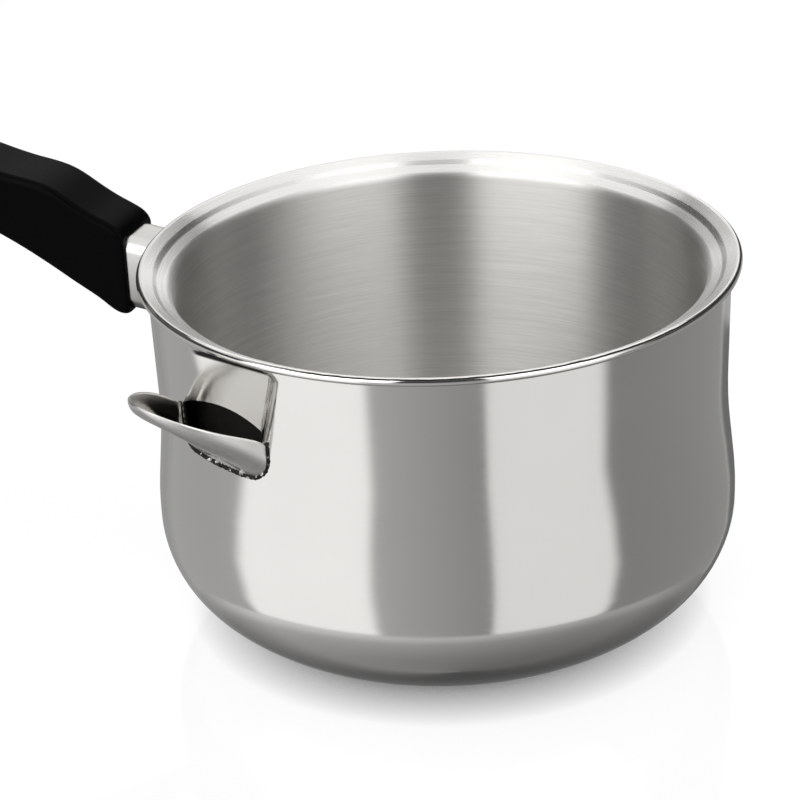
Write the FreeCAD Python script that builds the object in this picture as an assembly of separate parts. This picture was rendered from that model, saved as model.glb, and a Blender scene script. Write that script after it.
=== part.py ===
import FreeCAD, Part
import math
import os

os.makedirs("parts", exist_ok=True)
Vector = FreeCAD.Vector

# Sheet and play, in millimetres
sheet = 0.8                     # steel sheet of the pots, the chute and the flame guard
seam_gap = 0.05                 # play between pieces that are seamed or welded to each other

# Inner pot and rolled rim
pot_height = 114.2              # base plane to the crest of the rim
inner_radius = 80.0             # inside of the inner pot
inner_corner_radius = 26.0
inner_floor_height = 12.8       # cooking floor above the base plane
lid_seat_width = 4.2            # inner wall to the foot of the step that a lid rests on
lid_step_width = 1.3            # foot to top of that step
lid_step_drop = 1.3
rim_fall = 26.5                 # degrees, slope of the rim and of the seat towards the food
throat_rounding = 3.0
step_rounding = 1.6
rim_overhang = 3.1              # rim beyond the outer wall
hem_clearance = 1.0             # outer wall to the edge of the hem

# Outer pot
jacket_gap = 5.5                # between the two walls, for the water
waist_draw = 1.0                # waist inside the wall under the rim
waist_rise = 25.0               # belly to waist
waist_rounding = 150.0
belly_swell = 1.6               # belly beyond the wall under the rim
belly_rise = 7.2                # bottom corner to belly
belly_rounding = 90.0
neck_rounding = 0.6             # wall to flange
lower_corner_radius = 46.2
upper_corner_radius = 31.8

# Filling chute, pressed panel and inlet window
chute_bearing = 61.6            # degrees round the pot from the handle
chute_half_width = 19.8
chute_reach = 28.0              # wall chord to the tip of the lip
chute_slope = 0.485             # rise of the lip for each millimetre outward
chute_swell = 1.2               # extra rise of the lip between the wall and the tip
chute_end_depth = 25.7          # below the crest, where the lip meets the wall
chute_drop = 13.5               # lip to the foot of the scoop, on the wall
weld_size = 0.9
panel_clearance = 1.6           # panel to the inner pot at the top of the panel
panel_lean = 1.0                # panel further out at its foot
panel_top_depth = 7.2           # below the crest
panel_tuck = 1.0                # panel foot below the end of the lip
panel_margin = 0.9              # panel foot inside the scoop, each side
panel_half_width = 30.0
inlet_margin = 1.9              # window edge inside the scoop
inlet_arch_rise = 5.1           # top of the window above the end of the lip
inlet_corner_radius = 5.0

# Handle: grip stations give the distance from the grip root, underside and top above the crest, width
grip_stations = [
    (0.0, -25.9, -0.9, 20.4),
    (1.0, -26.5, 0.6, 20.9),
    (3.8, -26.4, 2.6, 21.0),
    (8.8, -23.2, 4.9, 21.1),
    (15.8, -18.9, 8.7, 21.2),
    (24.0, -13.9, 13.4, 21.4),
    (36.8, -6.6, 16.4, 21.8),
    (52.8, 0.8, 20.2, 22.4),
    (74.8, 7.8, 25.4, 23.2),
    (102.8, 13.4, 30.2, 24.0),
    (130.8, 18.2, 33.2, 24.0),
    (142.8, 20.6, 33.8, 20.5),
    (147.8, 22.6, 33.0, 15.0),
    (149.8, 25.0, 31.2, 9.0),
]
grip_rounding = 0.1             # share of the smaller side of a grip section
grip_play = 0.15                # between the grip and the flame guard
grip_lip = 2.45                 # grip above the guard at the root
grip_low_lip = 1.2              # grip below the guard at the root
grip_side_lip = 1.15            # grip beside the guard at the root
handle_tilt = 9.0               # degrees, axis of the stud above level
guard_length = 12.1             # outer wall to the root of the grip
guard_in_grip = 3.0
guard_corner_radius = 4.5
bracket_margin = 3.2            # above and below the bracket, inside the guard
bracket_side_margin = 2.0
bracket_thickness = 1.5
bracket_rounding = 3.0
stud_radius = 3.0
stud_in_nut = 8.3
nut_radius = 4.0
nut_head_radius = 5.0
nut_head_height = 2.6
nut_slot_width = 1.4
nut_slot_depth = 1.3
nut_seat_depth = 16.8           # grip root to the shoulder that the washer rests on
washer_thickness = 1.2
washer_split = 1.0
bore_play = 0.3
driver_reach = 60.0             # bore for a driver, from the shoulder to the open underside
hang_hole_radius = 4.5
hang_hole_distance = 133.8      # from the grip root

# Sizes that follow from the ones above
crest = pot_height
bead_radius = (3 * sheet + 2 * seam_gap) / 2
lid_seat_radius = inner_radius + lid_seat_width
lid_step_radius = lid_seat_radius + lid_step_width
inner_back_radius = inner_radius + sheet
wall_radius = inner_back_radius + jacket_gap + sheet
waist_radius = wall_radius - waist_draw
belly_radius = wall_radius + belly_swell
rim_radius = wall_radius + rim_overhang
rim_slope = math.tan(math.radians(rim_fall))
rim_normal = Vector(-math.sin(math.radians(rim_fall)), 0, math.cos(math.radians(rim_fall)))
rim_run = Vector(rim_normal.z, 0, -rim_normal.x)
bead_centre = Vector(rim_radius - bead_radius, 0, crest - bead_radius)
panel_top_radius = inner_back_radius + panel_clearance + sheet
panel_bottom_radius = panel_top_radius + panel_lean
clear_radius = wall_radius + chute_reach
chute_end = crest - chute_end_depth
chute_foot = chute_end - chute_drop
grip_root = wall_radius + guard_length
guard_end = grip_root + guard_in_grip
nut_seat = grip_root + nut_seat_depth
root_low, root_high, root_width = grip_stations[1][1:]
guard_above = (root_high - root_low) / 2 - grip_lip
guard_below = (root_high - root_low) / 2 - grip_low_lip
guard_width = root_width - 2 * grip_side_lip


def tangent_path(corners):
    """Lines and arcs through (radius, height, rounding) corners, as lists of (point, left normal)."""
    points = [Vector(radius, 0, height) for radius, height, rounding in corners]
    roundings = [rounding for radius, height, rounding in corners]
    path = []
    start = points[0]
    for before, corner, after, rounding in zip(points, points[1:], points[2:], roundings[1:]):
        back = (before - corner).normalize()
        onward = (after - corner).normalize()
        half_angle = back.getAngle(onward) / 2
        reach = rounding / math.tan(half_angle)
        centre = corner + (back + onward).normalize() * (rounding / math.sin(half_angle))
        arc_start = corner + back * reach
        arc_end = corner + onward * reach
        arc_middle = centre + (corner - centre).normalize() * rounding
        left = Vector(back.z, 0, -back.x)
        turn = 1 if left.dot(centre - arc_start) > 0 else -1
        if (arc_start - start).Length > 1e-6:
            path.append([(start, left), (arc_start, left)])
        arc_points = (arc_start, arc_middle, arc_end)
        path.append([(point, (centre - point).normalize() * turn) for point in arc_points])
        start = arc_end
    last = (points[-1] - start).normalize()
    left = Vector(-last.z, 0, last.x)
    path.append([(start, left), (points[-1], left)])
    return path


def side_edges(path, offset):
    """Edges of the path moved to its left by the offset."""
    edges = []
    for piece in path:
        moved = [point + normal * offset for point, normal in piece]
        curve = Part.LineSegment(*moved) if len(moved) == 2 else Part.Arc(*moved)
        edges.append(curve.toShape())
    return edges


def first_point(edges):
    return edges[0].firstVertex().Point


def last_point(edges):
    return edges[-1].lastVertex().Point


def line(start, end):
    return Part.LineSegment(start, end).toShape()


def arc(start, middle, end):
    return Part.Arc(start, middle, end).toShape()


def face_of(edges):
    return Part.Face(Part.Wire(Part.__sortEdges__(edges)))


def turned(face):
    return face.revolve(Vector(0, 0, 0), Vector(0, 0, 1), 360)


def sheet_shell(path, thickness):
    """Body of revolution of a sheet that lies to the right of the path."""
    near = side_edges(path, 0)
    far = side_edges(path, -thickness)
    ends = [line(last_point(near), last_point(far))]
    if (first_point(near) - first_point(far)).Length > 1e-6:
        ends.append(line(first_point(near), first_point(far)))
    return turned(face_of(near + far + ends))


def filled(path, offset, lid_height):
    """Body of revolution inside the path moved to its left by the offset, closed level on top."""
    edges = side_edges(path, offset)
    bottom = first_point(edges)
    rim = last_point(edges)
    top = Vector(rim.x, 0, lid_height)
    axis_top = Vector(0, 0, lid_height)
    if (top - rim).Length > 1e-6:
        edges.append(line(rim, top))
    return turned(face_of(edges + [line(top, axis_top), line(axis_top, bottom)]))


def rounded_box_wire(station, low, high, width, rounding):
    """Upright rounded rectangle across the handle, at a distance from the pot axis."""
    half = width / 2
    corners = [
        Vector(-station, -half, low), Vector(-station, half, low),
        Vector(-station, half, high), Vector(-station, -half, high),
    ]
    bends = []
    for before, corner, after in zip(corners[-1:] + corners[:-1], corners, corners[1:] + corners[:1]):
        back = (before - corner).normalize()
        onward = (after - corner).normalize()
        start = corner + back * rounding
        end = corner + onward * rounding
        middle = corner + (back + onward) * rounding * (1 - math.sqrt(0.5))
        bends.append((start, middle, end))
    edges = []
    for bend, next_bend in zip(bends, bends[1:] + bends[:1]):
        edges.append(arc(*bend))
        edges.append(line(bend[2], next_bend[0]))
    return Part.Wire(edges)


def rim_height(radius, depth):
    """Height of the surface that lies a depth under the sloping top of the rim."""
    point = bead_centre + rim_normal * (bead_radius - depth)
    return point.z + (radius - point.x) * rim_slope


# Inner pot: floor, wall, stepped rim and hem, drawn along the surface that holds the food
step_height = rim_height(lid_step_radius, 0)
seat_height = step_height - lid_step_drop
hem_radius = wall_radius + hem_clearance
fold = bead_centre + (rim_normal + rim_run) * bead_radius
fold_under = fold - rim_normal * (2 * bead_radius)
inner_path = tangent_path([
    (0, inner_floor_height, 0),
    (inner_radius, inner_floor_height, inner_corner_radius),
    (inner_radius, seat_height - lid_seat_width * rim_slope, throat_rounding),
    (lid_seat_radius, seat_height, step_rounding),
    (lid_step_radius, step_height, step_rounding),
    (fold.x, fold.z, bead_radius),
    (fold_under.x, fold_under.z, bead_radius),
    (hem_radius, rim_height(hem_radius, 2 * bead_radius), 0),
])
inner_pot = sheet_shell(inner_path, sheet)

# Outer pot: drawn along its outer surface, its sloping flange held in the hem
flange_depth = 2 * sheet + seam_gap
flange_end = bead_centre + rim_normal * (bead_radius - flange_depth)
flange_top = (flange_end + rim_normal * sheet).z
neck_height = rim_height(wall_radius, flange_depth)
half_turn = math.sqrt(0.5)
corner_lean = math.tan(math.radians(22.5))
corner_height = lower_corner_radius * (1 - half_turn) + upper_corner_radius * half_turn
foot_radius = belly_radius - lower_corner_radius * half_turn - upper_corner_radius * (1 - half_turn)
belly_height = corner_height + belly_rise
outer_path = tangent_path([
    (0, 0, 0),
    (foot_radius + lower_corner_radius * corner_lean, 0, lower_corner_radius),
    (belly_radius, corner_height - upper_corner_radius * corner_lean, upper_corner_radius),
    (belly_radius, belly_height, belly_rounding),
    (waist_radius, belly_height + waist_rise, waist_rounding),
    (wall_radius, neck_height, neck_rounding),
    (flange_end.x, flange_end.z, 0),
])
outer_body = filled(outer_path, 0, flange_top)
outer_hollow = filled(outer_path, sheet, flange_top + sheet)


def panel_tool(grow):
    """Block that presses the flat panel into the wall, chute direction along +X."""
    near = panel_top_radius - grow
    foot = panel_bottom_radius - grow
    top = crest - panel_top_depth + grow * corner_lean
    bottom = chute_end - panel_tuck - grow
    ceiling = neck_height - neck_rounding
    ledge = max(ceiling - top, 0)
    side_view = Part.makePolygon([
        Vector(foot, 0, bottom), Vector(near, 0, top), Vector(near + ledge, 0, ceiling),
        Vector(clear_radius, 0, ceiling), Vector(clear_radius, 0, bottom), Vector(foot, 0, bottom),
    ])
    slab = Part.Face(side_view).extrude(Vector(0, 2 * panel_half_width, 0))
    slab.translate(Vector(0, -panel_half_width, 0))
    narrow = chute_half_width - panel_margin + grow
    shoulder = bottom + max(panel_half_width - narrow, 0)
    front_view = Part.makePolygon([
        Vector(0, -narrow, bottom), Vector(0, narrow, bottom),
        Vector(0, panel_half_width, shoulder), Vector(0, panel_half_width, crest),
        Vector(0, -panel_half_width, crest), Vector(0, -panel_half_width, shoulder),
        Vector(0, -narrow, bottom),
    ])
    return slab.common(Part.Face(front_view).extrude(Vector(clear_radius, 0, 0)))


def scoop_wire(out, grow, top_lift):
    """Section of the scoop across its length; out runs from 0 at the wall to 1 at the tip."""
    swing = math.asin(min(max(out, 0), 1))
    reach = (chute_reach + grow) * out
    half = (chute_half_width + grow) * math.cos(swing)
    depth = (chute_drop + grow) * (1 - max(out, 0)) ** 0.6
    rounding = min(depth * (0.4 + 0.45 * math.sin(swing)), half * 0.9)
    chord = math.sqrt(wall_radius ** 2 - chute_half_width ** 2)
    x = chord + reach
    swell = chute_swell * math.sin(math.pi * max(out, 0) ** 0.4)
    top = chute_end + chute_slope * chute_reach * out + swell
    low = top - depth
    high = top + top_lift
    bend = rounding * (1 - math.sqrt(0.5))
    return Part.Wire([
        line(Vector(x, -half, high), Vector(x, -half, low + rounding)),
        arc(Vector(x, -half, low + rounding), Vector(x, -half + bend, low + bend),
            Vector(x, -half + rounding, low)),
        line(Vector(x, -half + rounding, low), Vector(x, half - rounding, low)),
        arc(Vector(x, half - rounding, low), Vector(x, half - bend, low + bend),
            Vector(x, half, low + rounding)),
        line(Vector(x, half, low + rounding), Vector(x, half, high)),
        line(Vector(x, half, high), Vector(x, -half, high)),
    ])


def scoop_body(grow, top_lift):
    swings = [0, 15, 30, 45, 58, 70, 79, 86]
    outs = [-0.3] + [math.sin(math.radians(swing)) for swing in swings]
    return Part.makeLoft([scoop_wire(out, grow, top_lift) for out in outs], True, False)


def toward_chute(shape):
    shape.rotate(Vector(0, 0, 0), Vector(0, 0, 1), 180 + chute_bearing)
    return shape


# Inlet window in the wall behind the scoop, arched on top and rounded below
window_half = chute_half_width - inlet_margin
window_low = chute_foot + inlet_margin
window_corner = min(inlet_corner_radius, window_half, chute_drop - inlet_margin)
window_bend = window_corner * (1 - half_turn)


def window_point(side, height):
    return Vector(inner_radius, side, height)


left_end = window_point(-window_half, chute_end)
left_bend = window_point(-window_half, window_low + window_corner)
left_middle = window_point(-window_half + window_bend, window_low + window_bend)
left_foot = window_point(-window_half + window_corner, window_low)
right_end = window_point(window_half, chute_end)
right_bend = window_point(window_half, window_low + window_corner)
right_middle = window_point(window_half - window_bend, window_low + window_bend)
right_foot = window_point(window_half - window_corner, window_low)
window_face = face_of([
    arc(left_end, window_point(0, chute_end + inlet_arch_rise), right_end),
    line(right_end, right_bend),
    arc(right_bend, right_middle, right_foot),
    line(right_foot, left_foot),
    arc(left_foot, left_middle, left_bend),
    line(left_bend, left_end),
])
window = toward_chute(window_face.extrude(Vector(clear_radius - inner_radius, 0, 0)))
outer_pot = outer_body.cut(toward_chute(panel_tool(0)))
outer_pot = outer_pot.cut(outer_hollow.cut(toward_chute(panel_tool(sheet))))
outer_pot = outer_pot.cut(window)

# Filling chute and the weld bead round its foot, both cut to the round wall
wall_clear = filled(outer_path, -seam_gap, flange_top)
scoop = toward_chute(scoop_body(0, 0).cut(scoop_body(-sheet, chute_drop)))
filling_chute = scoop.cut(wall_clear)
bead = toward_chute(scoop_body(weld_size, 0).cut(scoop_body(seam_gap, chute_drop)))
chute_weld = bead.common(filled(outer_path, -weld_size, flange_top)).cut(wall_clear)

# Handle axis: along -X, tilted up away from the pot, through the middle of the grip root
tilt = math.radians(handle_tilt)
axis = Vector(-math.cos(tilt), 0, math.sin(tilt))
axis_height = crest + (root_low + root_high) / 2 - guard_length * math.tan(tilt)
axis_start = Vector(-wall_radius, 0, axis_height)


def axis_point(distance):
    """Point of the handle axis at a level distance from the pot axis."""
    return axis_start + axis * ((distance - wall_radius) / math.cos(tilt))


def along_axis(radius, start, end):
    """Round bar on the handle axis between two level distances from the pot axis."""
    length = (end - start) / math.cos(tilt)
    return Part.makeCylinder(radius, length, axis_point(start), axis)


def guard_prism(grow, start, end):
    """Rounded bar with the outline of the flame guard, along the handle axis."""
    wire = rounded_box_wire(0, -guard_below - grow, guard_above + grow, guard_width + 2 * grow,
                            guard_corner_radius + grow)
    bar = Part.Face(wire).extrude(Vector(-(end - start) / math.cos(tilt), 0, 0))
    bar.rotate(Vector(0, 0, 0), Vector(0, 1, 0), handle_tilt)
    bar.translate(axis_point(start))
    return bar


guard_start = wall_radius - guard_length
flame_guard = guard_prism(0, guard_start, guard_end)
flame_guard = flame_guard.cut(guard_prism(-sheet, guard_start - sheet, guard_end - sheet))
flame_guard = flame_guard.cut(along_axis(stud_radius + bore_play, guard_start, guard_end + sheet))
flame_guard = flame_guard.cut(wall_clear)

# Bracket: saddle plate on the wall inside the guard
bracket_half_height = guard_above - sheet - bracket_margin
bracket_width = guard_width - 2 * sheet - 2 * bracket_side_margin
bracket_wire = rounded_box_wire(guard_start, axis_height - bracket_half_height,
                                axis_height + bracket_half_height, bracket_width, bracket_rounding)
bracket_block = Part.Face(bracket_wire).extrude(Vector(-2 * guard_length, 0, 0))
handle_bracket = bracket_block.common(filled(outer_path, -seam_gap - bracket_thickness, flange_top))
handle_bracket = handle_bracket.cut(wall_clear)

# Stud, sleeve nut and spring washer on the handle axis
nut_start = guard_end + seam_gap
head_start = nut_seat + washer_thickness + seam_gap
head_end = head_start + nut_head_height
stud_end = nut_start + stud_in_nut
bracket_face = filled(outer_path, -2 * seam_gap - bracket_thickness, flange_top)
handle_stud = along_axis(stud_radius, guard_start, stud_end).cut(bracket_face)
sleeve_nut = along_axis(nut_radius, nut_start, head_start)
sleeve_nut = sleeve_nut.fuse(along_axis(nut_head_radius, head_start, head_end))
sleeve_nut = sleeve_nut.cut(along_axis(stud_radius + seam_gap, guard_start, stud_end + sheet))
slot = Part.makeBox(2 * nut_slot_depth, 4 * nut_head_radius, nut_slot_width,
                    Vector(-nut_slot_depth, -2 * nut_head_radius, -nut_slot_width / 2))
slot.rotate(Vector(0, 0, 0), Vector(0, 1, 0), handle_tilt)
slot.translate(axis_point(head_end))
sleeve_nut = sleeve_nut.cut(slot).removeSplitter()
washer_start = nut_seat + seam_gap / 2
spring_washer = along_axis(nut_head_radius, washer_start, washer_start + washer_thickness)
spring_washer = spring_washer.cut(along_axis(nut_radius + bore_play, grip_root, head_end))
split = Part.makeBox(2 * nut_head_radius, washer_split, 2 * nut_head_radius,
                     Vector(-nut_head_radius, -washer_split / 2, 0))
split.rotate(Vector(0, 0, 0), Vector(0, 1, 0), handle_tilt)
split.translate(axis_point(nut_seat))
spring_washer = spring_washer.cut(split)

# Grip: skinned over its stations, then bored for the guard, the nut, a driver and a hook
sections = []
for distance, low, high, width in grip_stations:
    rounding = min(high - low, width) * grip_rounding
    sections.append(rounded_box_wire(grip_root + distance, crest + low, crest + high, width, rounding))
handle_grip = Part.makeLoft(sections, True, False)
handle_grip = handle_grip.cut(guard_prism(grip_play, guard_start, guard_end + grip_play))
handle_grip = handle_grip.cut(along_axis(nut_radius + bore_play, grip_root, nut_seat))
driver_bore_radius = nut_head_radius + 2 * bore_play
handle_grip = handle_grip.cut(along_axis(driver_bore_radius, nut_seat, nut_seat + driver_reach))
grip_top = max(high for distance, low, high, width in grip_stations)
hang_hole = Part.makeCylinder(hang_hole_radius, 2 * grip_top,
                              Vector(-grip_root - hang_hole_distance, 0, crest), Vector(0, 0, 1))
handle_grip = handle_grip.cut(hang_hole)

pieces = {
    "outer_pot": outer_pot,
    "inner_pot": inner_pot,
    "filling_chute": filling_chute,
    "chute_weld": chute_weld,
    "flame_guard": flame_guard,
    "handle_bracket": handle_bracket,
    "handle_stud": handle_stud,
    "sleeve_nut": sleeve_nut,
    "spring_washer": spring_washer,
    "handle_grip": handle_grip,
}
for name, shape in pieces.items():
    print(name, "solids", len(shape.Solids), "valid", shape.isValid(), "volume %.0f" % shape.Volume)
    shape.Solids[0].exportStep("parts/" + name + ".step")
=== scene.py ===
import math

import bmesh
import bpy
from mathutils import Matrix, Vector


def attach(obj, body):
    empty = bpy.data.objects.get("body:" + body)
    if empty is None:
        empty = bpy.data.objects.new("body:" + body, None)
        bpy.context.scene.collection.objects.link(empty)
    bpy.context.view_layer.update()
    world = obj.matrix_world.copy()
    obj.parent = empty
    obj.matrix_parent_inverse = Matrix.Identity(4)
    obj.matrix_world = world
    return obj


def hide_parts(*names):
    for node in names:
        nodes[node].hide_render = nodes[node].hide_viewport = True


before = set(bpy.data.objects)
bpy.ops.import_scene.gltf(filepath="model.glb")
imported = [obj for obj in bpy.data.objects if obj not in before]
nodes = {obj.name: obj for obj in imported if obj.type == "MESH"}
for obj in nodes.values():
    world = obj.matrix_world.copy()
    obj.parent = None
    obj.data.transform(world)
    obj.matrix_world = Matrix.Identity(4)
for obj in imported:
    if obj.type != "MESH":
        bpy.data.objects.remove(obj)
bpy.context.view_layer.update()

mm = 0.001

# Outer pot
# The outer wall of the water jacket: stainless sheet, deep drawn, polished outside and scaled inside.
# A leaning panel is pressed in behind the filling chute, with painted shade in the crease along its top,
# standing in for the shade under the rim's bead, and a window below it lets the water in.
crest = 114.2 * mm
sheet = 0.8 * mm
wall_radius = 87.1 * mm
waist_radius = 86.1 * mm
waist_height = 68.22 * mm
waist_rounding = 150 * mm
belly_radius = 88.7 * mm
belly_height = 43.22 * mm
belly_rounding = 90 * mm
lower_corner = 46.2 * mm
upper_corner = 31.8 * mm
neck_rounding = 0.6 * mm
rim_radius = 90.2 * mm
rim_fall = math.radians(26.5)
bead = 1.25 * mm
seam_play = 0.05 * mm
flange_depth = 2 * sheet + seam_play
panel_top_radius = 83.7 * mm
panel_bottom_radius = 86.2 * mm
panel_top = crest - 6.2 * mm
panel_bottom = crest - 26.7 * mm
panel_half_width = 15.6 * mm
panel_flare = 0.16
panel_turn = 0.2
panel_ledge = 2.2
panel_softness = 2.2 * mm
panel_full_depth = 1.2 * mm
panel_run_out = 10 * mm
panel_neck_gap = 0.5 * mm
panel_band = 33 * mm
panel_rows = 34
panel_crease = (panel_top - 1.7 * mm, panel_top - 1.2 * mm)
scuffed_height = 1.2 * mm
chute_angle = math.radians(180 + 61.6)
chute_half_width = 19.8 * mm
chute_end = crest - 25.7 * mm
chute_foot = crest - 39.2 * mm
window_half_width = 17.9 * mm
window_low = chute_foot + 1.9 * mm
window_arch = 5.1 * mm
window_corner = 5.0 * mm
window_arch_steps = 16
window_corner_steps = 6
window_cut_depth = 35.1 * mm


def rim_point(along, depth):
    """(radius, height) at a depth under the sloping rim's top, so far outward from the bead's middle."""
    up = bead - depth
    return (rim_radius - bead + along * math.cos(rim_fall) - up * math.sin(rim_fall),
            crest - bead + along * math.sin(rim_fall) + up * math.cos(rim_fall))


def rim_height(radius, depth):
    """Height of the surface that lies a depth under the sloping top of the rim."""
    from_radius, from_height = rim_point(0, depth)
    return from_height + (radius - from_radius) * math.tan(rim_fall)


neck_height = rim_height(wall_radius, flange_depth)


def wall_at(height):
    """Outer radius of the upper wall, from the waist to the neck."""
    share = (height - waist_height) / (neck_height - waist_height)
    return waist_radius + (wall_radius - waist_radius) * share


def feed(tree, value, socket):
    """Gives an input its value: another node's output, a number or a colour."""
    if isinstance(value, bpy.types.NodeSocket):
        tree.links.new(value, socket)
    elif socket.type == "RGBA":
        socket.default_value = (*value, 1)
    else:
        socket.default_value = value


def calc(tree, operation, *values):
    """Math node whose inputs are sockets or numbers; returns its output."""
    node = tree.nodes.new("ShaderNodeMath")
    node.operation = operation
    for socket, value in zip(node.inputs, values):
        feed(tree, value, socket)
    return node.outputs[0]


def axes_of(tree, vector):
    """Outputs X, Y and Z of a vector."""
    node = tree.nodes.new("ShaderNodeSeparateXYZ")
    tree.links.new(vector, node.inputs[0])
    return node.outputs


def new_group(name, inputs, output):
    """Geometry node tree with named inputs and one output; returns the tree and its two end nodes."""
    tree = bpy.data.node_groups.new(name, "GeometryNodeTree")
    for label, kind in inputs.items():
        tree.interface.new_socket(label, in_out="INPUT", socket_type="NodeSocket" + kind)
    tree.interface.new_socket(output, in_out="OUTPUT", socket_type="NodeSocketGeometry")
    return tree, tree.nodes.new("NodeGroupInput"), tree.nodes.new("NodeGroupOutput")


def turning_tree():
    """Node tree that rounds a profile's corners and turns it about the pot's axis."""
    inputs = {"Profile": "Geometry", "Rounding steps": "Int", "Columns": "Int", "Crowding": "Float",
              "Bearing": "Float", "Finish": "Material"}
    tree, given, result = new_group("turned_sheet", inputs, "Sheet")
    link = tree.links.new
    curve = tree.nodes.new("GeometryNodeMeshToCurve")
    rounding = tree.nodes.new("GeometryNodeInputNamedAttribute")
    rounding.data_type = "FLOAT"
    rounding.inputs["Name"].default_value = "rounding"
    fillet = tree.nodes.new("GeometryNodeFilletCurve")
    fillet.mode = "POLY"
    fillet.inputs["Limit Radius"].default_value = True
    wire = tree.nodes.new("GeometryNodeCurveToMesh")
    size = tree.nodes.new("GeometryNodeAttributeDomainSize")
    grid = tree.nodes.new("GeometryNodeMeshGrid")
    place = tree.nodes.new("GeometryNodeInputPosition")
    index = tree.nodes.new("GeometryNodeInputIndex")
    sample = tree.nodes.new("GeometryNodeSampleIndex")
    sample.data_type = "FLOAT_VECTOR"
    sample.domain = "POINT"
    turned = tree.nodes.new("ShaderNodeCombineXYZ")
    move = tree.nodes.new("GeometryNodeSetPosition")
    merge = tree.nodes.new("GeometryNodeMergeByDistance")
    merge.inputs["Distance"].default_value = 0.001 * mm
    realize = tree.nodes.new("GeometryNodeRealizeInstances")
    finish = tree.nodes.new("GeometryNodeSetMaterial")
    link(given.outputs["Profile"], curve.inputs["Mesh"])
    link(curve.outputs["Curve"], fillet.inputs["Curve"])
    link(given.outputs["Rounding steps"], fillet.inputs["Count"])
    link(rounding.outputs["Attribute"], fillet.inputs["Radius"])
    link(fillet.outputs["Curve"], wire.inputs["Curve"])
    link(wire.outputs["Mesh"], size.inputs["Geometry"])
    rows = size.outputs["Point Count"]
    columns = given.outputs["Columns"]
    link(calc(tree, "ADD", columns, 1), grid.inputs["Vertices X"])
    link(rows, grid.inputs["Vertices Y"])
    row = calc(tree, "MODULO", index.outputs[0], rows)
    column = calc(tree, "FLOOR", calc(tree, "DIVIDE", index.outputs[0], rows))
    turn = calc(tree, "MULTIPLY", calc(tree, "DIVIDE", column, columns), 2 * math.pi)
    crowd = calc(tree, "MULTIPLY", calc(tree, "SINE", turn), given.outputs["Crowding"])
    angle = calc(tree, "ADD", calc(tree, "SUBTRACT", turn, crowd), given.outputs["Bearing"])
    link(wire.outputs["Mesh"], sample.inputs["Geometry"])
    link(place.outputs[0], sample.inputs["Value"])
    link(row, sample.inputs["Index"])
    axes = axes_of(tree, sample.outputs["Value"])
    link(calc(tree, "MULTIPLY", axes["X"], calc(tree, "COSINE", angle)), turned.inputs["X"])
    link(calc(tree, "MULTIPLY", axes["X"], calc(tree, "SINE", angle)), turned.inputs["Y"])
    link(axes["Z"], turned.inputs["Z"])
    link(grid.outputs["Mesh"], move.inputs["Geometry"])
    link(turned.outputs[0], move.inputs["Position"])
    link(move.outputs[0], merge.inputs["Geometry"])
    link(merge.outputs[0], realize.inputs["Geometry"])
    link(realize.outputs[0], finish.inputs["Geometry"])
    link(given.outputs["Finish"], finish.inputs["Material"])
    link(finish.outputs[0], result.inputs["Sheet"])
    return tree


turned_sheet = turning_tree()


def place_object(name, data):
    """New object in the scene."""
    piece = bpy.data.objects.new(name, data)
    bpy.context.collection.objects.link(piece)
    return piece


def add_nodes(draft, tree, values):
    """Modifier that runs a node tree, with its inputs given by name."""
    modifier = draft.modifiers.new(tree.name, "NODES")
    modifier.node_group = tree
    for socket in tree.interface.items_tree:
        if socket.name in values:
            modifier[socket.identifier] = values[socket.name]


def applied(draft, name):
    """Plain mesh of a draft object with its modifiers applied; the draft is removed."""
    graph = bpy.context.evaluated_depsgraph_get()
    mesh = bpy.data.meshes.new_from_object(draft.evaluated_get(graph))
    mesh.name = name
    bpy.data.objects.remove(draft, do_unlink=True)
    return mesh


def turned_mesh(name, corners, material, steps, columns, crowding=0.0, bearing=0.0):
    """Mesh turned from (radius, height, rounding) corners; crowding draws its columns towards the bearing."""
    profile = bpy.data.meshes.new(name + "_profile")
    chain = [(step, step + 1) for step in range(len(corners) - 1)]
    profile.from_pydata([(radius, 0, height) for radius, height, _ in corners], chain, [])
    rounding = profile.attributes.new("rounding", "FLOAT", "POINT")
    rounding.data.foreach_set("value", [corner[2] for corner in corners])
    draft = place_object(name + "_draft", profile)
    add_nodes(draft, turned_sheet, {"Rounding steps": steps, "Columns": columns, "Crowding": crowding,
                                    "Bearing": bearing, "Finish": material})
    return applied(draft, name)


def new_material(name):
    """Material with a Principled shader; returns the material, its tree and the shader."""
    material = bpy.data.materials.new(name)
    material.use_nodes = True
    tree = material.node_tree
    return material, tree, tree.nodes["Principled BSDF"]


def object_place(tree):
    """Place on the object, in metres."""
    return tree.nodes.new("ShaderNodeTexCoord").outputs["Object"]


def mesh_value(tree, name):
    """Number that the mesh keeps under a name at each point."""
    node = tree.nodes.new("ShaderNodeAttribute")
    node.attribute_name = name
    return node.outputs["Fac"]


def noise(tree, vector, scale, detail, softness=0.5):
    """Cloudy noise around a half."""
    node = tree.nodes.new("ShaderNodeTexNoise")
    node.inputs["Scale"].default_value = scale
    node.inputs["Detail"].default_value = detail
    node.inputs["Roughness"].default_value = softness
    tree.links.new(vector, node.inputs["Vector"])
    return node.outputs["Fac"]


def span(tree, value, low, high, to_low, to_high):
    """Map Range node from one span to another, clamped."""
    node = tree.nodes.new("ShaderNodeMapRange")
    tree.links.new(value, node.inputs["Value"])
    for name, number in (("From Min", low), ("From Max", high), ("To Min", to_low), ("To Max", to_high)):
        node.inputs[name].default_value = number
    return node.outputs[0]


def vary(tree, value, low, high):
    """Number from low to high over the middle of a noise, where most of it lies."""
    return span(tree, value, 0.3, 0.7, low, high)


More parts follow.
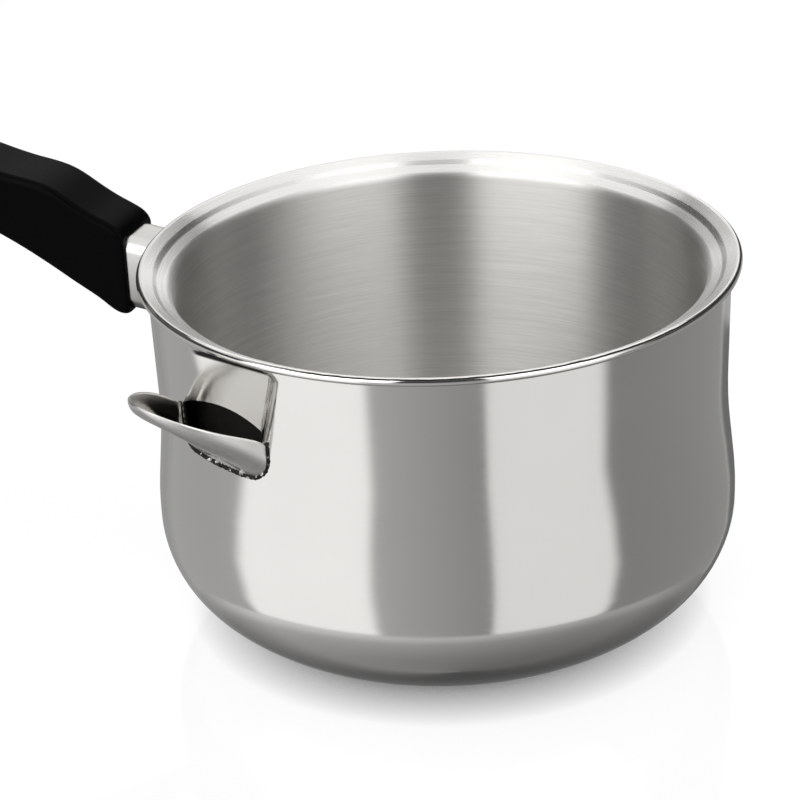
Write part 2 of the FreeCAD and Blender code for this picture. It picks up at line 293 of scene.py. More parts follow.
def blend(tree, share, first, second):
    """Colour between two colours, each a socket or its red, green and blue."""
    node = tree.nodes.new("ShaderNodeMix")
    node.data_type = "RGBA"
    for name, value in (("Factor", share), ("A", first), ("B", second)):
        feed(tree, value, node.inputs[name])
    return node.outputs["Result"]


def from_axis(tree, axes):
    """Distance from the pot's axis."""
    squares = [calc(tree, "POWER", axes[name], 2.0) for name in ("X", "Y")]
    return calc(tree, "SQRT", calc(tree, "ADD", *squares))


def turned_lines(tree, axes, across, along):
    """Vector whose noise gives fine lines round the pot's axis, on walls and floors alike."""
    path = calc(tree, "ADD", from_axis(tree, axes), axes["Z"])
    vector = tree.nodes.new("ShaderNodeCombineXYZ")
    for name, value, scale in (("X", axes["X"], across), ("Y", axes["Y"], across), ("Z", path, along)):
        tree.links.new(calc(tree, "MULTIPLY", value, scale), vector.inputs[name])
    return vector.outputs[0]


def dress(tree, shader, values):
    """Gives the named inputs of a shader their values."""
    for name, value in values.items():
        feed(tree, value, shader.inputs[name])


def bump(tree, shader, height, strength, depth):
    """Relief of a surface, from a noise."""
    node = tree.nodes.new("ShaderNodeBump")
    node.inputs["Strength"].default_value = strength
    node.inputs["Distance"].default_value = depth
    tree.links.new(height, node.inputs["Height"])
    tree.links.new(node.outputs[0], shader.inputs["Normal"])


polished_steel, tree, shader = new_material("polished_steel")
place = object_place(tree)
axes = axes_of(tree, place)
grain = noise(tree, turned_lines(tree, axes, 14.0, 2600.0), 1.0, 3.0)
smudge = noise(tree, place, 34.0, 4.0)
pressing = mesh_value(tree, "pressed")
steel = blend(tree, smudge, (0.78, 0.77, 0.75), (0.84, 0.83, 0.81))
# Painted shade: near black along the crease at the top of the pressed panel, where the rim's bead shades it.
crease_painted_shade = calc(tree, "MULTIPLY", span(tree, pressing, 0.7, 1, 0, 1),
                   span(tree, axes["Z"], *panel_crease, 0, 1))
scuffs = calc(tree, "MULTIPLY", span(tree, axes["Z"], 0, scuffed_height, 0.3, 0),
              span(tree, noise(tree, place, 420.0, 3.0), 0.35, 0.65, 0.4, 1))
gloss = calc(tree, "ADD", vary(tree, grain, 0.085, 0.125), span(tree, smudge, 0.35, 0.7, 0, 0.03))
duller = calc(tree, "ADD", scuffs, calc(tree, "MULTIPLY", pressing, 0.05))
dress(tree, shader, {
    "Base Color": blend(tree, crease_painted_shade, steel, (0.02, 0.02, 0.019)),
    "Roughness": calc(tree, "ADD", gloss, duller),
    "Metallic": 1,
})
bump(tree, shader, grain, 0.06, 0.02 * mm)

# The lower and the upper corner of the belly meet where the wall leans 45 degrees.
corner_lean = math.tan(math.radians(22.5))
slant = math.sqrt(0.5)
foot_radius = belly_radius - lower_corner * slant - upper_corner * (1 - slant)
corner_height = lower_corner * (1 - slant) + upper_corner * slant
outer_corners = [
    (0, 0, 0),
    (0.5 * foot_radius, 0, 0),
    (foot_radius + lower_corner * corner_lean, 0, lower_corner),
    (belly_radius, corner_height - upper_corner * corner_lean, upper_corner),
    (belly_radius, belly_height, belly_rounding),
    (waist_radius, waist_height, waist_rounding),
]
for row in range(1, panel_rows):
    height = neck_height - panel_band * (1 - row / panel_rows)
    outer_corners.append((wall_at(height), height, 0))
outer_corners += [(wall_radius, neck_height, neck_rounding), (*rim_point(0, flange_depth), 0)]
outer_mesh = turned_mesh("outer_pot_skin", outer_corners, polished_steel, steps=12, columns=220,
                         crowding=0.75, bearing=chute_angle)


def soft_least(first, second, softness):
    """Smaller of two numbers, with a rounded change from one to the other."""
    near = max(softness - abs(first - second), 0) / softness
    return min(first, second) - near * near * softness / 4


outward = Vector((math.cos(chute_angle), math.sin(chute_angle), 0))
sideways = Vector((-math.sin(chute_angle), math.cos(chute_angle), 0))
pressed_share = outer_mesh.attributes.new("pressed", "FLOAT", "POINT")
for vertex in outer_mesh.vertices:
    out = vertex.co.dot(outward)
    side = vertex.co.dot(sideways)
    height = vertex.co.z
    if out < 0 or height < panel_bottom - panel_run_out or height > neck_height - panel_neck_gap:
        continue
    share = (height - panel_bottom) / (panel_top - panel_bottom)
    flat = panel_bottom_radius + (panel_top_radius - panel_bottom_radius) * share - panel_turn * side
    above = panel_ledge * max(height - panel_top, 0)
    below = max(panel_bottom - height, 0)
    beside = max(abs(side) - panel_half_width - panel_flare * max(height - panel_bottom, 0), 0)
    pressed = soft_least(out, flat + above + below + beside, panel_softness)
    vertex.co += outward * (pressed - out)
    pressed_share.data[vertex.index].value = min((out - pressed) / panel_full_depth, 1)

jacket_scale, tree, shader = new_material("jacket_scale")
crust = noise(tree, object_place(tree), 240.0, 5.0)
dress(tree, shader, {
    "Base Color": blend(tree, crust, (0.008, 0.008, 0.008), (0.035, 0.033, 0.03)),
    "Roughness": vary(tree, crust, 0.5, 0.8),
    "Specular IOR Level": 0.2,
})
bump(tree, shader, crust, 0.3, 0.1 * mm)


def thicken(draft):
    """Gives a turned surface the thickness of the sheet, with scale on the side of the jacket."""
    draft.data.materials.append(jacket_scale)
    modifier = draft.modifiers.new("sheet", "SOLIDIFY")
    modifier.thickness = sheet
    modifier.offset = -1
    modifier.use_even_offset = True
    modifier.material_offset = 1


def smooth(mesh, sharp_degrees):
    """Smooth shading, broken at edges that turn by more than an angle."""
    mesh.shade_smooth()
    mesh.set_sharp_from_angle(angle=math.radians(sharp_degrees))


outer_draft = place_object("outer_pot_draft", outer_mesh)
thicken(outer_draft)
window_outline = []
for step in range(window_arch_steps + 1):
    share = 2 * step / window_arch_steps - 1
    window_outline.append((window_half_width * share, chute_end + window_arch * (1 - share * share)))
for end, first_angle in ((1, 0), (-1, -90)):
    corner_side = end * (window_half_width - window_corner)
    corner_middle = window_low + window_corner
    for step in range(window_corner_steps + 1):
        angle = math.radians(first_angle - 90 * step / window_corner_steps)
        window_outline.append((corner_side + window_corner * math.cos(angle),
                               corner_middle + window_corner * math.sin(angle)))
block = bmesh.new()
cut_start = outward * 80 * mm
near = [block.verts.new(cut_start + sideways * side + Vector((0, 0, height)))
        for side, height in window_outline]
far = [block.verts.new(vertex.co + outward * window_cut_depth) for vertex in near]
block.faces.new(near)
block.faces.new(far[::-1])
for step in range(len(near)):
    after = (step + 1) % len(near)
    block.faces.new((near[after], near[step], far[step], far[after]))
for face in block.faces:
    face.material_index = 1
bmesh.ops.recalc_face_normals(block, faces=block.faces)
window_mesh = bpy.data.meshes.new("window_block")
block.to_mesh(window_mesh)
block.free()
for material in (polished_steel, jacket_scale):
    window_mesh.materials.append(material)
window_block = place_object("window_block", window_mesh)
cut = outer_draft.modifiers.new("window", "BOOLEAN")
cut.operation = "DIFFERENCE"
cut.solver = "EXACT"
cut.object = window_block
outer_pot = place_object("outer_pot_skin", applied(outer_draft, "outer_pot_skin"))
bpy.data.objects.remove(window_block, do_unlink=True)
smooth(outer_pot.data, sharp_degrees=50)
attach(outer_pot, "root")
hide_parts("outer_pot")

# Inner pot
# The cooking pot: stainless sheet, spun and satin finished inside, with a stepped, sloping seat for a lid.
# Its polished edge is rolled over the outer pot's flange and holds the two together,
# with painted shade along the seam line of the roll, standing in for the shadow in the gap where the seam is
# a little open.
inner_radius = 80 * mm
wall_rows = (85 * mm, 60 * mm)
floor_height = 12.8 * mm
floor_rounding = 26 * mm
floor_rings = (40 * mm, 20 * mm, 0)
hem_radius = wall_radius + 1.0 * mm
seat_radius = inner_radius + 4.2 * mm
seat_rounding = 3.0 * mm
step_radius = seat_radius + 1.3 * mm
step_rounding = 1.6 * mm
seat_height = rim_height(step_radius, 0) - 1.3 * mm
rim_polish_radii = (80.1 * mm, 81.5 * mm)
bead_polish_radii = (88.2 * mm, 89.2 * mm)
seam_radii = (89.0 * mm, 89.3 * mm)
seam_low_edge = (crest - 0.5 * mm, crest - 0.42 * mm)
seam_high_edge = (crest - 0.16 * mm, crest - 0.1 * mm)
seam_waver = 0.1 * mm
seam_shade_right = (-36 * mm, -6 * mm)
seam_shade_left = (-70 * mm, -62 * mm)

satin_steel, tree, shader = new_material("satin_steel")
place = object_place(tree)
axes = axes_of(tree, place)
radius = from_axis(tree, axes)
brushing = vary(tree, noise(tree, turned_lines(tree, axes, 45.0, 1900.0), 1.0, 3.0, 0.6), 0, 1)
stain = noise(tree, place, 18.0, 3.0)
shade = calc(tree, "ADD", calc(tree, "MULTIPLY", brushing, 0.75), calc(tree, "MULTIPLY", stain, 0.25))
steel = blend(tree, shade, (0.72, 0.71, 0.69), (0.88, 0.87, 0.85))
rim_steel = blend(tree, span(tree, radius, *rim_polish_radii, 0, 1), steel, (0.92, 0.91, 0.89))
waver = span(tree, noise(tree, place, 260.0, 2.0), 0, 1, -seam_waver, seam_waver)
wavering = calc(tree, "ADD", axes["Z"], waver)
# Painted shade: a near-black, non-metallic line along the roll's seam stands in for the shadow in its gap; it
# fades to faint over one stretch of the rim.
seam_line = calc(tree, "MULTIPLY", span(tree, wavering, *seam_low_edge, 0, 1),
                 span(tree, wavering, *seam_high_edge, 1, 0))
seam_shade_share = calc(tree, "MAXIMUM", span(tree, axes["X"], *seam_shade_right, 0.12, 1),
                 span(tree, axes["X"], *seam_shade_left, 1, 0))
seam_painted_shade = calc(tree, "MULTIPLY", calc(tree, "MULTIPLY", seam_line, seam_shade_share),
             span(tree, radius, *seam_radii, 0, 1))
polish = calc(tree, "MULTIPLY", span(tree, radius, *rim_polish_radii, 1.0, 0.6),
              span(tree, radius, *bead_polish_radii, 1.0, 0.4))
tangent = tree.nodes.new("ShaderNodeTangent")
tangent.direction_type = "RADIAL"
tangent.axis = "Z"
dress(tree, shader, {
    "Base Color": blend(tree, seam_painted_shade, rim_steel, (0.03, 0.03, 0.028)),
    "Roughness": calc(tree, "MULTIPLY", span(tree, brushing, 0, 1, 0.42, 0.52), polish),
    "Metallic": span(tree, seam_painted_shade, 0, 1, 1, 0),
    "Specular IOR Level": span(tree, seam_painted_shade, 0, 1, 0.5, 0),
    "Anisotropic": 1.0,
    "Anisotropic Rotation": 0.25,
    "Tangent": tangent.outputs[0],
})
bump(tree, shader, brushing, 0.35, 0.03 * mm)

inner_corners = [
    (hem_radius, rim_height(hem_radius, 2 * bead), 0),
    (*rim_point(bead, 2 * bead), bead),
    (*rim_point(bead, 0), bead),
    (step_radius, rim_height(step_radius, 0), step_rounding),
    (seat_radius, seat_height, step_rounding),
    (inner_radius, seat_height - (seat_radius - inner_radius) * math.tan(rim_fall), seat_rounding),
]
inner_corners += [(inner_radius, height, 0) for height in wall_rows]
inner_corners.append((inner_radius, floor_height, floor_rounding))
inner_corners += [(radius, floor_height, 0) for radius in floor_rings]
inner_mesh = turned_mesh("inner_pot_skin", inner_corners, satin_steel, steps=14, columns=240)
inner_draft = place_object("inner_pot_draft", inner_mesh)
thicken(inner_draft)
inner_pot = place_object("inner_pot_skin", applied(inner_draft, "inner_pot_skin"))
smooth(inner_pot.data, sharp_degrees=50)
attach(inner_pot, "root")
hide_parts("inner_pot")

# Filling chute
# An open scoop pressed from the same sheet, brushed to a satin, with painted shade inside that darkens it
# below the lip, more to one side.
# It is welded to the outer wall under the pressed panel, and water poured into it fills the jacket.
chute_reach = 28 * mm
lip_end = chute_end - 1.0 * mm
lip_slope = 0.521
lip_swell = 1.25 * mm
lip_swell_place = 0.6
lip_lean = 0.95 * mm
lip_lean_limit = 0.8
lip_round = 0.3 * mm
chute_drop = lip_end - chute_foot
chute_fullness = 0.6
chord = math.sqrt(wall_radius ** 2 - chute_half_width ** 2)
foot_rounding = 0.65
tip_rounding = 0.2
rounding_limit = 0.9
side_steps = 6
bend_steps = 8
floor_steps = 3
swing_steps = 30
chute_shade_edge = -6 * mm
chute_shade_fade = 5 * mm
chute_shade_least = 0.15
chute_shade_depth = 3 * mm


def at_chute(out, side, height):
    """Point given outward from the pot's axis, sideways and up, as seen from the chute."""
    return outward * out + sideways * side + Vector((0, 0, height))


def half_section(half, top, low, rounding):
    """(side, height) points from the lip down one side of the scoop to the middle of its floor."""
    points = [(half, top + (low + rounding - top) * step / side_steps) for step in range(side_steps)]
    for step in range(bend_steps + 1):
        angle = math.radians(-90 * step / bend_steps)
        points.append((half - rounding + rounding * math.cos(angle),
                       low + rounding + rounding * math.sin(angle)))
    points += [((half - rounding) * (1 - step / floor_steps), low) for step in range(1, floor_steps + 1)]
    return points


def scoop_section(swing, grow, drop_lip):
    """U of (out, side, height) points across the scoop; the swing runs from 0 at the wall to 90 degrees."""
    share = math.sin(swing)
    half = (chute_half_width + grow) * math.cos(swing)
    depth = (chute_drop + grow) * (1 - share) ** chute_fullness
    rounding = min(depth * (foot_rounding + tip_rounding * share), half * rounding_limit)
    out = chord + (chute_reach + grow) * share
    swell = lip_swell * math.sin(math.pi * share ** lip_swell_place)
    top = lip_end + lip_slope * chute_reach * share + swell
    low = top - depth
    top -= min(drop_lip, depth)
    lean = min(lip_lean * math.sin(math.pi * share), lip_lean_limit * depth)
    right = half_section(half, top - lean, low, rounding)
    left = half_section(half, top + lean, low, rounding)[:-1]
    points = right + [(-side, height) for side, height in left[::-1]]
    return [(out, side, height) for side, height in points]


block = bmesh.new()
# The stain layer holds painted shade: 0 at the lip, rising to 1 a little below it, weaker towards one side.
chute_shade_share = block.verts.layers.float.new("stain")
loops = []
for swing in [math.radians(90 * step / swing_steps) for step in range(swing_steps + 1)]:
    outer = scoop_section(swing, 0, lip_round)
    inner = scoop_section(swing, -sheet, lip_round)
    crown = scoop_section(swing, -sheet / 2, 0)
    ring = outer + [crown[-1]] + inner[::-1] + [crown[0]]
    loop = []
    for number, (out, side, height) in enumerate(ring):
        seat = wall_at(height) - sheet / 2
        if math.hypot(out, side) < seat:
            out = math.sqrt(max(seat ** 2 - side ** 2, 0))
        vertex = block.verts.new(at_chute(out, side, height))
        if len(outer) < number < len(ring) - 1:
            below = crown[0][2] - height
            to_side = min(max((chute_shade_edge - side) / chute_shade_fade, chute_shade_least), 1)
            vertex[chute_shade_share] = min(max(below / chute_shade_depth, 0), 1) * to_side
        loop.append(vertex)
    loops.append(loop)
for loop, next_loop in zip(loops, loops[1:]):
    for step in range(len(loop)):
        after = (step + 1) % len(loop)
        block.faces.new((loop[step], loop[after], next_loop[after], next_loop[step]))

# The end at the wall is closed by a strip between its outer and its inner edge.
wall_end = loops[0]
last = len(wall_end) - 2
for step in range(last // 2 - 1):
    block.faces.new((wall_end[step], wall_end[last - step], wall_end[last - step - 1], wall_end[step + 1]))
block.faces.new(wall_end[last // 2 + 1:last // 2 - 2:-1])
block.faces.new((wall_end[0], wall_end[last + 1], wall_end[last]))
bmesh.ops.remove_doubles(block, verts=block.verts, dist=0.002 * mm)
bmesh.ops.recalc_face_normals(block, faces=block.faces)
if block.calc_volume(signed=True) < 0:
    bmesh.ops.reverse_faces(block, faces=block.faces)
chute_mesh = bpy.data.meshes.new("filling_chute_skin")
block.to_mesh(chute_mesh)
block.free()
filling_chute = place_object("filling_chute_skin", chute_mesh)
smooth(chute_mesh, sharp_degrees=60)

chute_steel, tree, shader = new_material("chute_steel")
place = object_place(tree)
grain = noise(tree, turned_lines(tree, axes_of(tree, place), 60.0, 1800.0), 1.0, 3.0)
smudge = noise(tree, place, 90.0, 4.0)
# Painted shade: the stain layer turns the inside of the scoop darker and glossier.
chute_shaded = calc(tree, "MULTIPLY", mesh_value(tree, "stain"), span(tree, smudge, 0.2, 0.6, 0.75, 1.0))
steel = blend(tree, smudge, (0.76, 0.75, 0.73), (0.84, 0.83, 0.81))
satin = vary(tree, grain, 0.34, 0.42)
dress(tree, shader, {
    "Base Color": blend(tree, chute_shaded, steel, (0.5, 0.49, 0.47)),
    "Roughness": calc(tree, "MULTIPLY", satin, span(tree, chute_shaded, 0, 1, 1, 0.3)),
    "Metallic": 1,
})
bump(tree, shader, grain, 0.05, 0.02 * mm)
chute_mesh.materials.append(chute_steel)
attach(filling_chute, "root")
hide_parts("filling_chute")

# Chute weld
# The bead that seals the scoop's foot to the wall: a row of small overlapping ripples of weld metal,
# left as welded, so darker and rougher than the polished sheet; the near-black colour is also painted shade,
# standing in for the shadow along the joint.
ripple_spacing = 0.75 * mm
ripple_radius = 0.72 * mm


def weld_tree():
    """Node tree that lays overlapping ripples of uneven size along a path."""
    inputs = {"Path": "Geometry", "Spacing": "Float", "Ripple radius": "Float", "Finish": "Material"}
    tree, given, result = new_group("weld_ripples", inputs, "Weld")
    link = tree.links.new
    curve = tree.nodes.new("GeometryNodeMeshToCurve")
    spaced = tree.nodes.new("GeometryNodeResampleCurve")
    spaced.mode = "LENGTH"
    ripple = tree.nodes.new("GeometryNodeMeshUVSphere")
    ripple.inputs["Segments"].default_value = 10
    ripple.inputs["Rings"].default_value = 7
    uneven = tree.nodes.new("FunctionNodeRandomValue")
    uneven.data_type = "FLOAT_VECTOR"
    uneven.inputs["Min"].default_value = (0.7, 0.7, 0.75)
    uneven.inputs["Max"].default_value = (1.15, 1.15, 1.2)
    uneven.inputs["Seed"].default_value = 4
    scatter = tree.nodes.new("GeometryNodeInstanceOnPoints")
    realize = tree.nodes.new("GeometryNodeRealizeInstances")
    finish = tree.nodes.new("GeometryNodeSetMaterial")
    link(given.outputs["Path"], curve.inputs["Mesh"])
    link(curve.outputs["Curve"], spaced.inputs["Curve"])
    link(given.outputs["Spacing"], spaced.inputs["Length"])
    link(given.outputs["Ripple radius"], ripple.inputs["Radius"])
    link(spaced.outputs["Curve"], scatter.inputs["Points"])
    link(ripple.outputs["Mesh"], scatter.inputs["Instance"])
    link(uneven.outputs["Value"], scatter.inputs["Scale"])
    link(scatter.outputs["Instances"], realize.inputs["Geometry"])
    link(realize.outputs[0], finish.inputs["Geometry"])
    link(given.outputs["Finish"], finish.inputs["Material"])
    link(finish.outputs[0], result.inputs["Weld"])
    return tree


weld_steel, tree, shader = new_material("weld_steel")
place = object_place(tree)
scale_marks = noise(tree, place, 900.0, 4.0)
bright_spots = span(tree, noise(tree, place, 520.0, 2.0), 0.58, 0.66, 0, 1)
# Painted shade: the near-black weld colour also stands in for the shadow along the joint; the bright spots
# are weld metal.
dress(tree, shader, {
    "Base Color": blend(tree, bright_spots, (0.03, 0.027, 0.025), (0.7, 0.69, 0.67)),
    "Roughness": vary(tree, scale_marks, 0.25, 0.55),
    "Metallic": 1,
})
bump(tree, shader, scale_marks, 0.5, 0.15 * mm)

seam = []
for _, side, height in scoop_section(0, 0, 0):
    seam.append(at_chute(math.sqrt(wall_at(height) ** 2 - side ** 2), side, height))
path_mesh = bpy.data.meshes.new("weld_path")
path_mesh.from_pydata(seam, [(step, step + 1) for step in range(len(seam) - 1)], [])
weld_draft = place_object("weld_draft", path_mesh)
add_nodes(weld_draft, weld_tree(), {"Spacing": ripple_spacing, "Ripple radius": ripple_radius,
                                    "Finish": weld_steel})
chute_weld = place_object("chute_weld_ripples", applied(weld_draft, "chute_weld_ripples"))
chute_weld.data.shade_smooth()
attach(chute_weld, "root")
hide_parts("chute_weld")

# Flame guard
# The folded sheet sleeve between pot and grip that keeps the flame from the phenolic.
# Stainless steel, spot welded to the wall and brushed round the sleeve,
# rubbed bright along its edges, and darker towards its foot by painted shade.
foot_shade_heights = (90 * mm, 109 * mm)


def edge_wear(tree, radius):
    """1 along sharp edges, 0 on open faces."""
    rounded = tree.nodes.new("ShaderNodeBevel")
    rounded.samples = 6
    rounded.inputs["Radius"].default_value = radius
    surface = tree.nodes.new("ShaderNodeNewGeometry")
    agreement = tree.nodes.new("ShaderNodeVectorMath")
    agreement.operation = "DOT_PRODUCT"
    tree.links.new(rounded.outputs[0], agreement.inputs[0])
    tree.links.new(surface.outputs["Normal"], agreement.inputs[1])
    return span(tree, agreement.outputs["Value"], 0.8, 0.98, 1, 0)


def stretched(tree, place, scale):
    """Place scaled along each axis, for grain that runs one way."""
    mapping = tree.nodes.new("ShaderNodeMapping")
    mapping.inputs["Scale"].default_value = scale
    tree.links.new(place, mapping.inputs["Vector"])
    return mapping.outputs[0]


def paint(node, material):
    """Gives a carried-over piece its finish."""
    nodes[node].data.materials.clear()
    nodes[node].data.materials.append(material)


guard_steel, tree, shader = new_material("guard_steel")
place = object_place(tree)
grain = noise(tree, stretched(tree, place, (2200.0, 45.0, 45.0)), 1.0, 3.0)
smudge = noise(tree, place, 110.0, 4.0)
worn = edge_wear(tree, 0.5 * mm)
# Painted shade: the guard goes dark towards its foot.
foot_shade = span(tree, axes_of(tree, place)["Z"], *foot_shade_heights, 1, 0)
sheen = blend(tree, smudge, (0.66, 0.65, 0.63), (0.78, 0.77, 0.75))
foot_shaded = blend(tree, foot_shade, sheen, (0.24, 0.235, 0.23))
dress(tree, shader, {
    "Base Color": blend(tree, worn, foot_shaded, (0.88, 0.87, 0.85)),
    "Roughness": calc(tree, "SUBTRACT", vary(tree, grain, 0.2, 0.28), calc(tree, "MULTIPLY", worn, 0.1)),
    "Metallic": 1,
})
bump(tree, shader, grain, 0.04, 0.02 * mm)
paint("flame_guard", guard_steel)

# Handle bracket
# The plate inside the guard that carries the stud: cold rolled steel in its mill finish,
# spot welded to the pot's wall.
bracket_steel, tree, shader = new_material("bracket_steel")
place = object_place(tree)
mill_lines = noise(tree, stretched(tree, place, (60.0, 900.0, 60.0)), 1.0, 3.0)
oxide = noise(tree, place, 300.0, 4.0)
dress(tree, shader, {
    "Base Color": blend(tree, oxide, (0.5, 0.5, 0.49), (0.64, 0.64, 0.63)),
    "Roughness": vary(tree, mill_lines, 0.35, 0.5),
    "Metallic": 1,
})
bump(tree, shader, mill_lines, 0.2, 0.03 * mm)
paint("handle_bracket", bracket_steel)

# Handle stud, sleeve nut and spring washer
# The turned fasteners that draw the grip against the guard: zinc plated steel,
# faintly blue and yellow where the plating varies, rubbed bright on the edges.
fastener_steel, tree, shader = new_material("fastener_steel")
place = object_place(tree)
tool_marks = noise(tree, stretched(tree, place, (1800.0, 80.0, 80.0)), 1.0, 2.0)
plating = span(tree, noise(tree, place, 220.0, 3.0), 0.35, 0.65, 0, 1)
worn = edge_wear(tree, 0.3 * mm)
zinc = blend(tree, plating, (0.58, 0.6, 0.63), (0.66, 0.64, 0.56))
dress(tree, shader, {
    "Base Color": blend(tree, worn, zinc, (0.8, 0.8, 0.8)),
    "Roughness": vary(tree, tool_marks, 0.22, 0.4),
    "Metallic": 1,
})
bump(tree, shader, tool_marks, 0.25, 0.04 * mm)
for node in ("handle_stud", "sleeve_nut", "spring_washer"):
    paint(node, fastener_steel)

# Handle grip
# The moulded black phenolic grip: satin skin with a fine grain from the mould,
# a little greyer and smoother along the edges that a hand rubs.
grip_phenolic, tree, shader = new_material("grip_phenolic")
place = object_place(tree)
mould_grain = noise(tree, place, 2600.0, 3.0)
flow = noise(tree, place, 55.0, 3.0)
worn = edge_wear(tree, 0.8 * mm)
black = blend(tree, vary(tree, flow, 0, 1), (0.0008, 0.0008, 0.001), (0.0016, 0.0017, 0.002))
skin = calc(tree, "ADD", vary(tree, mould_grain, 0.3, 0.4), vary(tree, flow, -0.03, 0.03))
dress(tree, shader, {
    "Base Color": blend(tree, worn, black, (0.006, 0.006, 0.007)),
    "Roughness": calc(tree, "SUBTRACT", skin, calc(tree, "MULTIPLY", worn, 0.08)),
    "Specular IOR Level": 0.035,
})
bump(tree, shader, mould_grain, 0.12, 0.05 * mm)
paint("handle_grip", grip_phenolic)

# Studio
# White surroundings, a pale floor that keeps the shadow, and grey flags that only the steel mirrors,
# as they stand round a polished pot on a studio table.
room_seen = 1.0
room_fill = 0.45
world = bpy.data.worlds.new("white_room")
bpy.context.scene.world = world
world.use_nodes = True
tree = world.node_tree
rays = tree.nodes.new("ShaderNodeLightPath")
seen = calc(tree, "MAXIMUM", rays.outputs["Is Camera Ray"], rays.outputs["Is Glossy Ray"])
seen = calc(tree, "MAXIMUM", seen, rays.outputs["Is Transmission Ray"])
background = tree.nodes["Background"]
background.inputs["Color"].default_value = (1, 1, 1, 1)
tree.links.new(span(tree, seen, 0, 1, room_fill, room_seen), background.inputs["Strength"])

sky_light = bpy.data.lights.new("overhead_softbox", "SUN")
sky_light.energy = 0.3 * math.pi
sky_light.angle = math.radians(36)
softbox = place_object("overhead_softbox", sky_light)
softbox.rotation_euler = (math.radians(8), math.radians(-3), 0)
softbox.visible_glossy = False

floor_reach = 6
floor_brightness = 0.87
contact_reach = 12 * mm
contact_softness = 0.5
floor_mesh = bpy.data.meshes.new("floor")
floor_corners = [(x * floor_reach, y * floor_reach, 0) for x, y in ((-1, -1), (1, -1), (1, 1), (-1, 1))]
floor_mesh.from_pydata(floor_corners, [], [(0, 1, 2, 3)])
floor = place_object("floor", floor_mesh)
floor_paint, tree, shader = new_material("floor_paint")
tree.nodes.remove(shader)
nearness = tree.nodes.new("ShaderNodeAmbientOcclusion")
nearness.samples = 8
nearness.inputs["Distance"].default_value = contact_reach
pale = tree.nodes.new("ShaderNodeBsdfDiffuse")
pale.inputs["Color"].default_value = (0.16, 0.16, 0.16, 1)
mirror = tree.nodes.new("ShaderNodeBsdfGlossy")
mirror.inputs["Roughness"].default_value = 0.08
surface = tree.nodes.new("ShaderNodeMixShader")
surface.inputs["Fac"].default_value = 0.06
lift = tree.nodes.new("ShaderNodeEmission")
rays = tree.nodes.new("ShaderNodeLightPath")
contact = calc(tree, "POWER", nearness.outputs["AO"], contact_softness)
brightness = calc(tree, "MULTIPLY", contact, floor_brightness)
tree.links.new(calc(tree, "MULTIPLY", rays.outputs["Is Camera Ray"], brightness), lift.inputs["Strength"])
total = tree.nodes.new("ShaderNodeAddShader")
tree.links.new(pale.outputs[0], surface.inputs[1])
tree.links.new(mirror.outputs[0], surface.inputs[2])
tree.links.new(surface.outputs[0], total.inputs[0])
tree.links.new(lift.outputs[0], total.inputs[1])
tree.links.new(total.outputs[0], tree.nodes["Material Output"].inputs["Surface"])
floor_mesh.materials.append(floor_paint)
floor.visible_glossy = False

# Flags: start and end bearing in degrees to the left of the camera's side, grey at start and end,
# soft edge in degrees, lowest and highest point. Each one stands a little nearer than the one before,
# and fades in from its lowest point over the height of the fade.
camera_bearing = -70.0
flag_distance = 2.0
flag_spacing = 2 * mm
flag_columns = 24
ground = -1.5
fade = 0.45
below_ground = ground - fade
flags = [
    (87, 146, 0.40, 0.40, 6, below_ground, 0.4),
    (142, 186, 0.33, 0.33, 8, below_ground, 0.45),
    (150, 186, 0.75, 0.75, 8, 0.3, 1.1),
    (-16.5, 29.5, 0.27, 0.42, 4, below_ground, 0.4),
    (-62, -16.5, 0.82, 0.82, 3, below_ground, 0.4),
    (-146, -64, 0.30, 0.23, 6, below_ground, 0.4),
    (-176, -146, 0.40, 0.40, 5, below_ground, 0.1),
    (-176, -146, 0.15, 0.15, 5, below_ground, -0.78),
    (74, 160, 0.03, 0.03, 6, -0.05, 1.7),
    (18, 74, 2.5, 2.5, 4, -0.05, 3.5),
    (-16.5, 18, 0.04, 0.04, 4, -0.05, 4.2),
    (-54, -16.5, 1.9, 1.9, 4, -0.05, 3.5),
    (-80, -54, 0.05, 1.6, 3, -0.05, 2.4),
    (-160, -80, 0.03, 0.05, 4, -0.05, 1.7),
]
verts = []
faces = []
shades = []
covers = []
for number, (start, end, first_grey, last_grey, soft, low_edge, high_edge) in enumerate(flags):
    nearer = flag_distance - flag_spacing * number
    bearings = [start - soft / 2 + (soft + end - start) * step / flag_columns
                for step in range(flag_columns + 1)]
    bearings = sorted(bearings + [start + soft / 2, end - soft / 2])
    first = len(verts)
    for bearing in bearings:
        angle = math.radians(camera_bearing - bearing)
        inside = min(bearing - start + soft / 2, end + soft / 2 - bearing) / soft
        grey = first_grey + (last_grey - first_grey) * (bearing - start) / (end - start)
        for height, share in ((low_edge, 0), (low_edge + fade, 1), (high_edge, 1)):
            verts.append((nearer * math.cos(angle), nearer * math.sin(angle), height))
            shades.append(grey)
            covers.append(share * min(max(inside, 0), 1))
    for column in range(len(bearings) - 1):
        low = first + 3 * column
        faces.append((low, low + 1, low + 4, low + 3))
        faces.append((low + 1, low + 2, low + 5, low + 4))

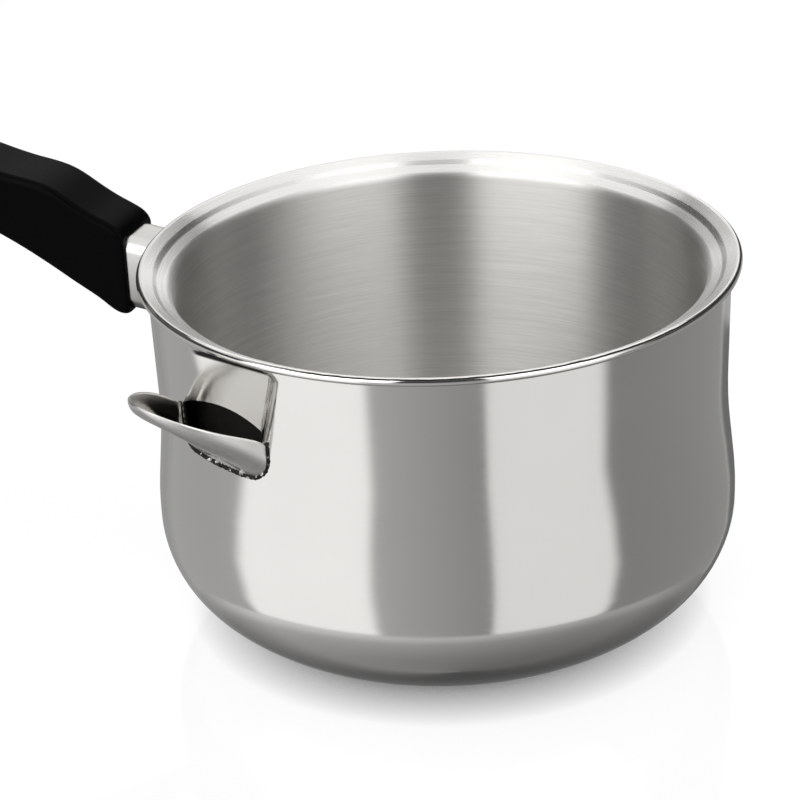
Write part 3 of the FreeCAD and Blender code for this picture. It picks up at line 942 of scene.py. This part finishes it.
# Dark ground below the flags: radius and grey of each ring.
# It is lighter to the left of the camera's side and dimmer away from the camera.
ground_rings = [(2.05, 0.55), (1.75, 0.48), (1.5, 0.34), (1.2, 0.29), (0.6, 0.21), (0.01, 0.18)]
ground_sides = 48
ground_lean = 0.25
ground_dimming = 0.6
first = len(verts)
for radius, grey in ground_rings:
    for step in range(ground_sides):
        angle = 2 * math.pi * step / ground_sides
        from_camera = math.radians(camera_bearing) - angle
        behind = max(-math.cos(from_camera), 0)
        verts.append((radius * math.cos(angle), radius * math.sin(angle), ground))
        shades.append(grey * (1 + ground_lean * math.sin(from_camera)) * (1 - ground_dimming * behind))
        covers.append(1)
for ring in range(len(ground_rings) - 1):
    low = first + ground_sides * ring
    high = low + ground_sides
    for step in range(ground_sides):
        after = (step + 1) % ground_sides
        faces.append((low + step, low + after, high + after, high + step))
mesh = bpy.data.meshes.new("flags")
mesh.from_pydata(verts, [], faces)
for name, values in (("shade", shades), ("cover", covers)):
    attribute = mesh.attributes.new(name, "FLOAT", "POINT")
    attribute.data.foreach_set("value", values)
studio_flags = place_object("studio_flags", mesh)
flag_cloth, tree, shader = new_material("flag_cloth")
tree.nodes.remove(shader)
glow = tree.nodes.new("ShaderNodeEmission")
clear = tree.nodes.new("ShaderNodeBsdfTransparent")
mix = tree.nodes.new("ShaderNodeMixShader")
tree.links.new(mesh_value(tree, "shade"), glow.inputs["Strength"])
tree.links.new(mesh_value(tree, "cover"), mix.inputs["Fac"])
tree.links.new(clear.outputs[0], mix.inputs[1])
tree.links.new(glow.outputs[0], mix.inputs[2])
tree.links.new(mix.outputs[0], tree.nodes["Material Output"].inputs["Surface"])
mesh.materials.append(flag_cloth)
studio_flags.visible_camera = False
studio_flags.visible_diffuse = False
studio_flags.visible_shadow = False
studio_flags.visible_transmission = False

# Camera at the photograph's place: aimed at the rim's middle, then panned, tipped and rolled
distance = 0.8
azimuth = math.radians(20)
elevation = math.radians(22.03)
camera_data = bpy.data.cameras.new("camera")
camera_data.sensor_width = 36
camera_data.lens = 120.48
camera = place_object("camera", camera_data)
toward = Vector((math.cos(elevation) * math.sin(azimuth), -math.cos(elevation) * math.cos(azimuth),
                 math.sin(elevation)))
aim = Matrix.Rotation(azimuth, 4, "Z") @ Matrix.Rotation(math.radians(90) - elevation, 4, "X")
pan = Matrix.Rotation(0.0164, 4, "Y")
tip = Matrix.Rotation(-0.0542, 4, "X")
roll = Matrix.Rotation(math.radians(-2.295), 4, "Z")
camera.matrix_world = Matrix.Translation(Vector((0, 0, crest)) + toward * distance) @ aim @ pan @ tip @ roll
bpy.context.scene.camera = camera
bpy.context.scene.view_settings.view_transform = "Standard"
